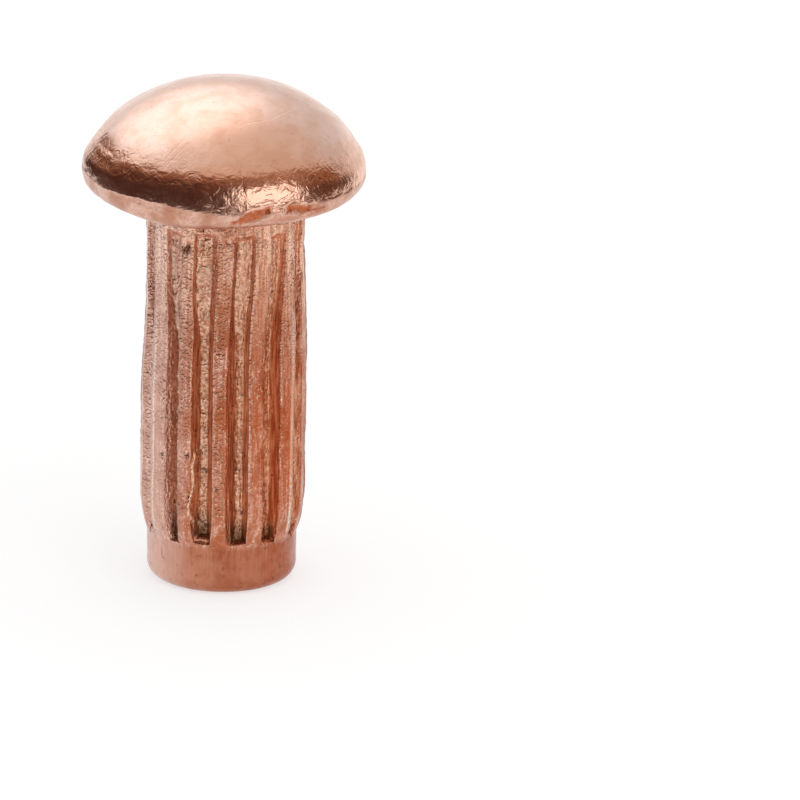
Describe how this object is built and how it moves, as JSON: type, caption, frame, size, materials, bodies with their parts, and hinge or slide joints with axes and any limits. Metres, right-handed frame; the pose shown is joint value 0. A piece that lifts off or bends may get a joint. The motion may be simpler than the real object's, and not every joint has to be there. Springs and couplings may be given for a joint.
{
  "type": "knurled nameplate rivet",
  "caption": "Solid copper drive rivet with a domed head and a lengthwise-ribbed shank that is hammered into a plain hole to hold a nameplate.",
  "frame": {"origin": "centre of the flat pilot end, where the rivet stands", "axes": "+Z along the rivet's axis, from the pilot end up to the domed head; -Y is the side seen in the picture, with one rib's crest 3 degrees from it; +X is to its right"},
  "size_m": [0.0056, 0.0056, 0.0102],
  "materials": {
    "copper": "burnished satin head, bright as-rolled shank"
  },
  "bodies": {
    "root": {"rivet": "copper"}
  },
  "joints": []
}
